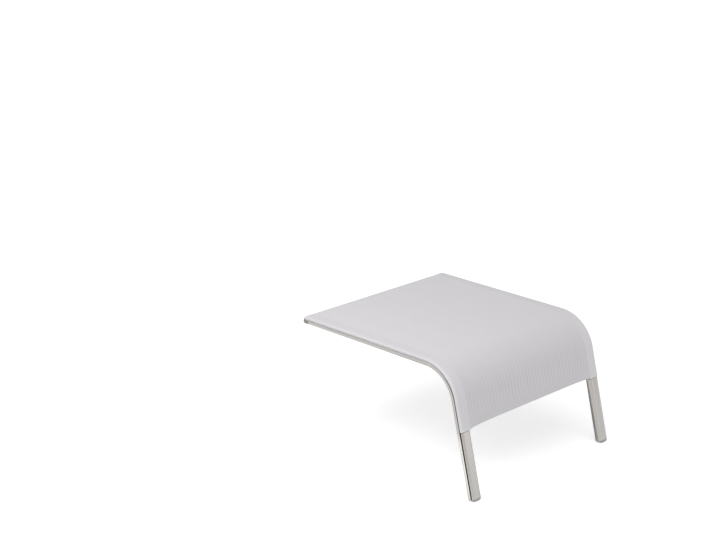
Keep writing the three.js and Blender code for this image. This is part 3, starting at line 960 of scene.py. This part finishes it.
def slingWeave():
    # Ribs run along the sheet, thinner yarns cross over and under them, and the small openings between them
    # are darker, as painted shade seen through them, where nothing lies behind the cloth
    look = newLook("slingWeave")
    tree = look.node_tree
    across, along = axesOf(grainMap(tree))[:2]
    ribAt = maths("DIVIDE", across, slingSizes["ribPitch"])
    ribNumber = maths("ROUND", ribAt)
    rib = crests(times(ribAt, 2 * math.pi))
    weftAt = times(maths("DIVIDE", along, weave["weftPitch"]), 2 * math.pi)
    weft = crests(plus(weftAt, times(maths("FLOORED_MODULO", ribNumber, 2), math.pi)))
    ribNoise = addNode(tree, "ShaderNodeTexWhiteNoise", {"W": ribNumber}, noise_dimensions="1D").outputs[0]
    width = maths("ABSOLUTE", across)
    backed = spread(width, railInside - weave["backedBlur"], railInside + weave["backedBlur"])
    shown = towards(backed, weave["backedShare"])
    opening = times(spread(rib, *weave["openRib"]), spread(weft, *weave["openWeft"]), shown)
    down = spread(along, rails["topLength"], bendEnd)
    # painted light on every fourth rib where the cloth hangs down
    wave = times(maths("COSINE", times(across, 2 * math.pi / slingSizes["wavePitch"])),
                 spread(down, *weave["waveFrom"], 0, weave["wave"]), shown)
    tucked = spread(width, roundReach + lipRadius * weave["tuckStart"], turnReach)
    # Painted light and shade in the cloth's tone where it hangs, over the tubes and inside the groove; the
    # rib streaks are random tone
    tone = times(
        towards(down, weave["hangPaintedLight"]), plus(wave, 1),
        towards(backed, spread(down, 0, 1, *weave["tubeShadeAndLight"])),
        towards(tucked, spread(down, 0, weave["tuckTurn"], *weave["tuckShadeAndLight"])),
        spread(ribNoise, 0, 1, 1 - weave["streak"], 1 + weave["streak"]),
    )
    yarn = blendColours(opening, weave["colour"], weave["openColour"])
    fibre = noiseOf(grainMap(tree, weave["fibreScale"]), 1, detail=2)
    height = plus(times(rib, spread(weft, 0, 1, weave["weftLow"], 1)), times(fibre, weave["fibreHeight"]))
    roughness = spread(fibre, *noiseRange, *weave["roughness"])
    return dressLook(look, scaleColour(yarn, tone), roughness, height, weave["bump"], weave["depth"])


slingCloth = finishPiece("sling_cloth", makeSling(), slingWeave(), ["sling"], sharpAngle=60)
print("sling made with", len(slingCloth.data.vertices), "points")


# Stitches along the hems and the side seams, each a short thread that dives into the cloth at both ends

stitchSizes = {
    "pitch": 0.0042,
    "length": 0.0034,
    "radius": 0.0003,
    "tipRadius": 0.35,  # share of that
    "sink": 0.00045,
    "rise": 0.00012,
    "rings": (-1, -0.85, -0.45, 0, 0.45, 0.85, 1),
    "sides": 7,
    "seat": 0.3,  # share of the ribs' height at which they lie
    "seamEnd": 0.002,  # of the side seams from the cloth's edges
    "lookAhead": 0.001,  # along the seam, for a stitch's direction
}
threadFinish = {
    "colour": (0.80, 0.79, 0.80, 1),
    "lowTint": 0.8,
    "roughness": (0.45, 0.7),
    "slant": 1.4,
    "twist": 900,
    "twistBump": 0.6,
    "twistDepth": 0.00008,
    "unevenness": 0.6,
    "fuzzScale": 2400,
}


def twistedThread():
    look = newLook("stitchThread")
    tree = look.node_tree
    wave = addNode(tree, "ShaderNodeTexWave", {
        "Vector": grainMap(tree, (1, threadFinish["slant"], 1)), "Scale": threadFinish["twist"],
        "Distortion": threadFinish["unevenness"],
    }, bands_direction="DIAGONAL").outputs[0]
    low = shade(threadFinish["colour"], threadFinish["lowTint"])
    colour = blendColours(wave, low, threadFinish["colour"])
    fuzz = noiseOf(placeMap(tree), threadFinish["fuzzScale"])
    roughness = spread(fuzz, *noiseRange, *threadFinish["roughness"])
    return dressLook(look, colour, roughness, wave, threadFinish["twistBump"], threadFinish["twistDepth"])


threadLook = twistedThread()


def addStitch(bm, middle, along, outward):
    across = along.cross(outward)
    alongs = [share * stitchSizes["length"] / 2 for share in stitchSizes["rings"]]
    rings = []
    for share, reach in zip(stitchSizes["rings"], alongs):
        dive = abs(share) ** 3
        radius = stitchSizes["radius"] * (1 - (1 - stitchSizes["tipRadius"]) * dive)
        centre = middle + along * reach - outward * (stitchSizes["sink"] * dive - stitchSizes["rise"])
        rings.append([
            centre + (across * math.cos(turn) + outward * math.sin(turn)) * radius
            for turn in turnsOf(stitchSizes["sides"])
        ])
    loft(bm, rings, alongs, capped=True)


def onSling(u, distance):
    # Point on the upper face and its outward direction
    y, out, angle = slingSection(u)
    across, up = math.copysign(1, u) * math.cos(angle), math.sin(angle)
    reach = slingHalf + slingSizes["ribHeight"] * stitchSizes["seat"]
    reach -= seamDip(u, distance - edgeSag(u, distance))
    point = onRail(distance, y + reach * across, out + reach * up)
    return point, (point - onRail(distance, y, out)).normalized()


def makeStitches(name, places):
    bm = bmesh.new()
    for u, distance, alongSling in places:
        if not alongSling:
            distance += edgeSag(u, distance)
        middle, outward = onSling(u, distance)
        step = Vector((0, 1, 0))
        if alongSling:
            step = (onSling(u, distance + stitchSizes["lookAhead"])[0] - middle).normalized()
        addStitch(bm, middle, step, outward)
    return finishPiece(name, bm, threadLook, sharpAngle=80)


def spaced(start, end):
    count = round((end - start) / stitchSizes["pitch"])
    return [start + (end - start) * (i + 0.5) / count for i in range(count)]


stitching = [
    makeStitches(f"{end}_hem_stitches", [(u, seam, False) for u in spaced(-hemHalf, hemHalf)])
    for end, seam in (("rear", rearSeam), ("front", frontSeam))
]
for side, name in sideNames.items():
    distances = spaced(slingRear + stitchSizes["seamEnd"], sleeveEdge - stitchSizes["seamEnd"])
    stitching.append(makeStitches(f"side_stitches_{name}", [(side * seamU, d, True) for d in distances]))
print("stitches made")


# Edge cords in the grooves, inside the turned-in edges of the sling

cordSizes = {
    "clearance": 0.0001,
    "edgeRound": 0.15,  # share of the radius
    "sides": 20,
}


def makeCord(side, name):
    bm = bmesh.new()
    radius, sides = slingSizes["cordTurn"] - cordSizes["clearance"], cordSizes["sides"]
    soft = radius * cordSizes["edgeRound"]
    full, eased = (
        arcPoints(pocketCentre, size, 0, math.pi * 2, sides)[:-1] for size in (radius, radius - soft)
    )
    stations = railStations(slingRear + soft, sleeveEdge - soft)
    rings = [sectionRing(eased, slingRear, side), *sweep(full, stations, side),
             sectionRing(eased, sleeveEdge, side)]
    loft(bm, rings, [slingRear, *stations, sleeveEdge], capped=True)
    finishPiece(f"cord_{name}", bm, cordLook, [f"edge_cord_{name}"])


for side, name in sideNames.items():
    makeCord(side, name)
print("edge cords made")


# Crossbars. They and their screws are drawn at a distance along the rails.

barSizes = {
    "diameter": 0.020,
    "wall": 0.0015,
    "straight": 0.100,
    "bow": 0.032,
    "bowSteps": 40,
    "sides": 40,
    "rearInset": 0.080,
    "frontDrop": 0.040,
    "copeGap": 0.0002,
    "copeLength": 0.004,
    "firstScrew": 0.016,
    "screwSpacing": 0.018,
}
barRadius = barSizes["diameter"] / 2
barLevel = barRadius - railRound
bowHalf = railInside - barSizes["straight"]
crossbars = {"rear": barSizes["rearInset"], "front": bendEnd + barSizes["frontDrop"]}


def barRing(distance, y, radius):
    # Square to the bowed bar
    turn = clamped(y / bowHalf, low=-1) * math.pi
    level = barLevel - barSizes["bow"] * (1 + math.cos(turn)) / 2
    slope = barSizes["bow"] * math.pi / bowHalf / 2 * math.sin(turn)
    ring = []
    for angle in turnsOf(barSizes["sides"]):
        up = radius * math.sin(angle) / math.hypot(1, slope)
        ring.append(onRail(distance + radius * math.cos(angle), y - up * slope, level + up))
    return ring


def copedRing(distance, side, radius):
    # The bar's end, which follows the rail's round side
    fit = railRound + barSizes["copeGap"]
    ring = []
    for angle in turnsOf(barSizes["sides"]):
        out = barLevel + radius * math.sin(angle)
        y = railInside + railRound - math.sqrt(max(fit**2 - out**2, 0))
        ring.append(onRail(distance + radius * math.cos(angle), side * y, out))
    return ring


def makeCrossbar(end, distance):
    bm = bmesh.new()
    straightEnd = railInside - barSizes["copeLength"]
    places = [-straightEnd, *evenly(-bowHalf, bowHalf, barSizes["bowSteps"]), straightEnd]
    walls = []
    for radius in (barRadius, barRadius - barSizes["wall"]):
        rings = [copedRing(distance, -1, radius), *(barRing(distance, y, radius) for y in places),
                 copedRing(distance, 1, radius)]
        walls.append(loft(bm, rings, [-railInside, *places, railInside]))
    for row in (0, -1):
        outer, inner = walls[0][row], walls[1][row]
        for k in range(len(outer)):
            bm.faces.new((outer[k - 1], outer[k], inner[k], inner[k - 1]))
    finishPiece(f"{end}_bar", bm, steelLook, [f"{end}_crossbar"])


for end, distance in crossbars.items():
    makeCrossbar(end, distance)
print("crossbars made")


# Button-head screws with a hexagon socket, under the crossbars' ends

screwSizes = {
    "headDiameter": 0.0095,
    "headHeight": 0.003,
    "headSteps": 6,
    "domeHeight": 0.93,  # share of the head's height
    "crownDiameter": 0.0056,
    "shankDiameter": 0.006,
    "length": 0.009,
    "tipRound": 0.0006,
    "socket": 0.004,
    "socketDepth": 0.0018,
    "socketEdge": 0.0002,
    "socketFlare": 1.08,
    "socketPoint": (0.2, 0.0004),  # share of its width, and depth
    "saddle": 0.0012,  # of the head's seat up round the tube
    "saddleWidth": 0.97,  # share of the head's width
    "sides": 36,
    "grainStep": 0.0005,  # from ring to ring
}
screwFinish = {
    **steelFinish,
    "colour": (0.50, 0.495, 0.49, 1),
    "roughness": (0.28, 0.45),
    "brushScale": (2600, 60, 1),
    "smudgeScale": 60,
}
screwLook = satinSteel("screwSteel", screwFinish)


def makeScrew(name, node, distance, y):
    # Rings from the socket's bottom out over the head and up the shank
    bm = bmesh.new()
    head, crown, shank, flats = (
        screwSizes[size] / 2 for size in ("headDiameter", "crownDiameter", "shankDiameter", "socket")
    )
    height, length, edge = screwSizes["headHeight"], screwSizes["length"], screwSizes["socketEdge"]
    bottom, saddle = height - screwSizes["socketDepth"], screwSizes["saddle"]
    pointShare, pointDepth = screwSizes["socketPoint"]

    def ring(radius, drop, hexagon=False):
        points = []
        for turn in turnsOf(screwSizes["sides"]):
            reach = radius
            if hexagon:
                reach = radius / math.cos((turn + math.pi / 6) % (math.pi / 3) - math.pi / 6)
            points.append(onRail(distance + reach * math.cos(turn), y + reach * math.sin(turn),
                                 barLevel - barRadius - drop))
        return points

    rings = [ring(flats * pointShare, bottom - pointDepth), ring(flats, bottom, True),
             ring(flats, height - edge, True), ring(flats * screwSizes["socketFlare"], height, True),
             ring(crown, height)]
    for turn in evenly(0, math.pi / 2, screwSizes["headSteps"])[1:]:
        dome = height * math.cos(turn) * screwSizes["domeHeight"] + edge
        rings.append(ring(crown + (head - crown) * math.sin(turn), dome))
    rings += [ring(head, 0), ring(head * screwSizes["saddleWidth"], -saddle), ring(shank, -saddle),
              ring(shank, screwSizes["tipRound"] - length), ring(shank - screwSizes["tipRound"], -length)]
    loft(bm, rings, screwSizes["grainStep"], capped=True)
    finishPiece(name, bm, screwLook, [node], sharpAngle=32)


for end, distance in crossbars.items():
    for side, sideName in sideNames.items():
        for number in (1, 2):
            inset = barSizes["firstScrew"] + barSizes["screwSpacing"] * (number - 1)
            node = f"{end}_crossbar_screw_{sideName}_{number}"
            makeScrew(f"{end}_screw_{sideName}_{number}", node, distance, side * (railInside - inset))
print("screws made")


# Hooks: a steel plate that cradles the rear crossbar and hooks over a round bar, and its plastic liner.
# They are drawn about the bar's centre, x forward and z up.

hookSizes = {
    "behind": 0.052,
    "below": 0.030,
    "barDiameter": 0.025,
    "fit": 0.0003,
    "thickness": 0.006,
    "rim": 0.008,
    "cradle": 0.006,
    "top": 0.004,
    "nose": 0.010,
    "linerThickness": 0.0027,
    "linerFlange": 0.004,
    "linerWidth": 0.014,
    "linerLip": 0.007,
    "edgeRound": 0.0007,
    "linerRound": 0.0006,
    "rimSteps": 28,
    "cradleSteps": 18,
    "seatSteps": 36,
    "linerSteps": 40,
    "lipSteps": 4,
}
hookY = sum(corner.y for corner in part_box("hook_plate_left")) / 2
hookOrigin = onRail(barSizes["rearInset"] - hookSizes["behind"], 0, barLevel - hookSizes["below"])
boreRadius = hookSizes["barDiameter"] / 2 + hookSizes["fit"]
linerRadius = boreRadius + hookSizes["linerThickness"]
mouthRadius = linerRadius + hookSizes["fit"]
seatRadius = barRadius + hookSizes["fit"]
seatTop = math.asin(hookSizes["top"] / seatRadius)


def hookOutline():
    rim = mouthRadius + hookSizes["rim"]
    cradle = seatRadius + hookSizes["cradle"]
    bar = (hookSizes["behind"], hookSizes["below"])
    heading = math.atan2(bar[1], bar[0])
    turn = math.acos((rim - cradle) / math.hypot(*bar))
    top, nose = bar[1] + hookSizes["top"], -hookSizes["nose"]

    def tangentAt(sign, level):
        # The straight side between the rim and the cradle, at a level
        angle = heading + sign * turn
        first = (rim * math.cos(angle), rim * math.sin(angle))
        last = (bar[0] + cradle * math.cos(angle), bar[1] + cradle * math.sin(angle))
        share = (level - first[1]) / (last[1] - first[1])
        return (first[0] + (last[0] - first[0]) * share, level)

    cradleTop = math.asin(hookSizes["top"] / cradle)
    noseTurn = math.asin(hookSizes["nose"] / rim)
    return [
        (mouthRadius, nose),
        tangentAt(-1, nose),
        *arcPoints(bar, cradle, heading - turn, cradleTop, hookSizes["cradleSteps"]),
        *arcPoints(bar, seatRadius, seatTop, -math.pi - seatTop, hookSizes["seatSteps"]),
        tangentAt(1, top),
        *arcPoints((0, 0), rim, heading + turn, math.pi + noseTurn, hookSizes["rimSteps"]),
        (-mouthRadius, nose),
        *arcPoints((0, 0), mouthRadius, math.pi, 0, hookSizes["seatSteps"]),
    ]


def atHook(x, y, z, side):
    return Vector((hookOrigin.x + x, side * hookY + y, hookOrigin.z + z))


def makeHook(side, name):
    bm = bmesh.new()
    half = hookSizes["thickness"] / 2
    rings = [[atHook(x, y, z, side) for x, z in hookOutline()] for y in (-half, half)]
    loft(bm, rings, hookSizes["thickness"], capped=True)
    plate = finishPiece(f"hook_{name}", bm, steelLook, [f"hook_plate_{name}"])
    softenEdges(plate, hookSizes["edgeRound"])


def makeLiner(side, name):
    # Channel section swept up one side of the mouth, over the top and down the other
    bm = bmesh.new()
    half, inner = hookSizes["linerWidth"] / 2, hookSizes["thickness"] / 2 + hookSizes["fit"]
    flange = linerRadius + hookSizes["linerFlange"]
    section = ((boreRadius, -half), (flange, -half), (flange, -inner), (linerRadius, -inner),
               (linerRadius, inner), (flange, inner), (flange, half), (boreRadius, half))

    def lipRing(sign, drop):
        bore = math.sqrt(boreRadius**2 - drop**2)
        reaches = [(bore if radius == boreRadius else radius, y) for radius, y in section]
        return [atHook(sign * reach, y, -drop, side) for reach, y in reaches]

    drops = evenly(hookSizes["linerLip"], 0, hookSizes["lipSteps"])[:-1]
    rings = [lipRing(1, drop) for drop in drops]
    rings += [[atHook(radius * math.cos(angle), y, radius * math.sin(angle), side) for radius, y in section]
              for angle in evenly(0, math.pi, hookSizes["linerSteps"])]
    rings += [lipRing(-1, drop) for drop in reversed(drops)]
    loft(bm, rings, capped=True)
    liner = finishPiece(f"liner_{name}", bm, linerLook, [f"hook_liner_{name}"])
    softenEdges(liner, hookSizes["linerRound"])


weldSizes = {
    "radius": 0.0016,
    "ripple": (0.10, 1.9),  # share of the radius, and its turn from ring to ring
    "drift": (0.05, 0.53),
    "endSize": 0.35,  # share of the radius at the bead's ends, which grows over these steps
    "endSteps": 4,
    "rise": 0.35,  # of its middle from the plate's face, in radii
    "height": 0.8,  # half of its section off the plate, in radii
    "steps": 90,
    "sides": 12,
    "grainStep": 0.0004,  # from ring to ring
}
weldFinish = {
    **steelFinish,
    "colour": (0.42, 0.40, 0.37, 1),
    "roughness": (0.3, 0.5),
    "brushScale": (900, 200, 1),
    "smudgeScale": 120,
    "brushDepth": 0.0001,
}
weldLook = satinSteel("weldSteel", weldFinish)


def makeHookWeld(side, name):
    # A rippled bead on each face of the plate, round the underside of the crossbar
    bm = bmesh.new()
    steps = weldSizes["steps"]
    (ripple, rippleTurn), (drift, driftTurn) = weldSizes["ripple"], weldSizes["drift"]
    for face in (-1, 1):
        rings = []
        for step, angle in enumerate(evenly(seatTop, -math.pi - seatTop, steps)):
            uneven = 1 + ripple * math.sin(step * rippleTurn) + drift * math.sin(step * driftTurn + face)
            taper = min(1, weldSizes["endSize"] + min(step, steps - step) / weldSizes["endSteps"])
            size = weldSizes["radius"] * uneven * taper
            ring = []
            for turn in turnsOf(weldSizes["sides"]):
                reach = barRadius + size * math.cos(turn)
                rise = size * (weldSizes["rise"] + weldSizes["height"] * math.sin(turn))
                ring.append(atHook(hookSizes["behind"] + reach * math.cos(angle),
                                   face * (hookSizes["thickness"] / 2 + rise),
                                   hookSizes["below"] + reach * math.sin(angle), side))
            rings.append(ring)
        loft(bm, rings, weldSizes["grainStep"], capped=True)
    finishPiece(f"hook_weld_{name}", bm, weldLook, sharpAngle=80)


for side, name in sideNames.items():
    makeHook(side, name)
    makeLiner(side, name)
    makeHookWeld(side, name)
print("hooks, liners and welds made")


# Spigots stay as packed, inside the crossbars' ends

for end in crossbars:
    for name in sideNames.values():
        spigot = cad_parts[f"{end}_spigot_{name}"]
        spigot.data.materials.clear()
        spigot.data.materials.append(steelLook)


# Studio: a pale floor, a white surround, and soft lamps

studio = {
    "floorColour": (0.86, 0.86, 0.86, 1),
    "floorGlow": 0.46,  # seen by the camera and in reflections only
    "shadowHalf": (0.30, 0.27),  # of the ground under the footrest, which has no glow in reflections: a painted shadow that the steel mirrors
    "shadowEdge": 0.10,
    "floorSize": 60,
    "surround": 0.55,  # strength of its light, which is 1 to the camera and in reflections
    "target": (0, 0, 0.25),
    "skyHeading": (0.5, -0.87),  # towards the broad soft light
    "skyHeight": math.radians(65),
    "skySpread": math.radians(50),
    "skyLight": 0.24,
    "keyPlace": (-0.1, -1.15, 1.35),
    "keySize": 0.8,
    "keyPower": 6.8,
    "legLampPlace": (1.42, 0.72, 0.2),
    "legLampTarget": (0.3, -0.28, 0.12),
    "legLampSize": 0.5,
    "legLampPower": 0.3,
}


def raysSeen(tree):
    # 1 for rays from the camera, and 1 for rays from gloss and through glass
    path = addNode(tree, "ShaderNodeLightPath")
    mirrored = maths("MAXIMUM", path.outputs["Is Glossy Ray"], path.outputs["Is Transmission Ray"])
    return path.outputs["Is Camera Ray"], mirrored


def makeFloor():
    half = studio["floorSize"] / 2
    mesh = bpy.data.meshes.new("floor")
    corners = [(-half, -half, 0), (half, -half, 0), (half, half, 0), (-half, half, 0)]
    mesh.from_pydata(corners, [], [(0, 1, 2, 3)])
    look = bpy.data.materials.new("paleFloor")
    look.use_nodes = True
    tree = look.node_tree
    tree.nodes.clear()
    paint = addNode(tree, "ShaderNodeBsdfDiffuse", {"Color": studio["floorColour"]})
    # a painted shadow under the footrest, seen only in reflections
    under = times(*(
        spread(maths("ABSOLUTE", place), reach + studio["shadowEdge"], reach)
        for place, reach in zip(axesOf(placeMap(tree)), studio["shadowHalf"])
    ))
    camera, mirrored = raysSeen(tree)
    seen = maths("MAXIMUM", camera, times(mirrored, spread(under, 1, 0)))
    glow = addNode(tree, "ShaderNodeEmission", {"Strength": times(seen, studio["floorGlow"])})
    both = addNode(tree, "ShaderNodeAddShader", {0: paint.outputs[0], 1: glow.outputs[0]})
    addNode(tree, "ShaderNodeOutputMaterial", {"Surface": both.outputs[0]})
    mesh.materials.append(look)
    addObject("floor", mesh)


def makeWorld():
    world = bpy.data.worlds.new("whiteSurround")
    bpy.context.scene.world = world
    world.use_nodes = True
    backdrop = world.node_tree.nodes["Background"]
    backdrop.inputs["Color"].default_value = (1, 1, 1, 1)
    seen = maths("MAXIMUM", *raysSeen(world.node_tree))
    feed(spread(seen, 0, 1, studio["surround"], 1), backdrop.inputs["Strength"])


def addLight(name, kind, place, target, **settings):
    data = bpy.data.lights.new(name, kind)
    for setting, value in settings.items():
        setattr(data, setting, value)
    lamp = addObject(name, data)
    lamp.location = place
    lamp.rotation_euler = (Vector(target) - Vector(place)).to_track_quat("-Z", "Y").to_euler()
    lamp.visible_camera = False


def addLights():
    # A distant, very broad light, level over the whole floor, then a soft lamp over the near side, and a
    # weak lamp that the near leg's front face mirrors
    x, y = studio["skyHeading"]
    z = studio["target"][2] + math.hypot(x, y) * math.tan(studio["skyHeight"])
    addLight("skyLight", "SUN", (x, y, z), studio["target"],
             angle=studio["skySpread"], energy=studio["skyLight"] * math.pi)
    addLight("keyLamp", "AREA", studio["keyPlace"], studio["target"],
             size=studio["keySize"], energy=studio["keyPower"])
    addLight("legLamp", "AREA", studio["legLampPlace"], studio["legLampTarget"],
             size=studio["legLampSize"], energy=studio["legLampPower"])


makeFloor()
makeWorld()
addLights()
bpy.context.scene.view_settings.view_transform = "Standard"
print("studio made")
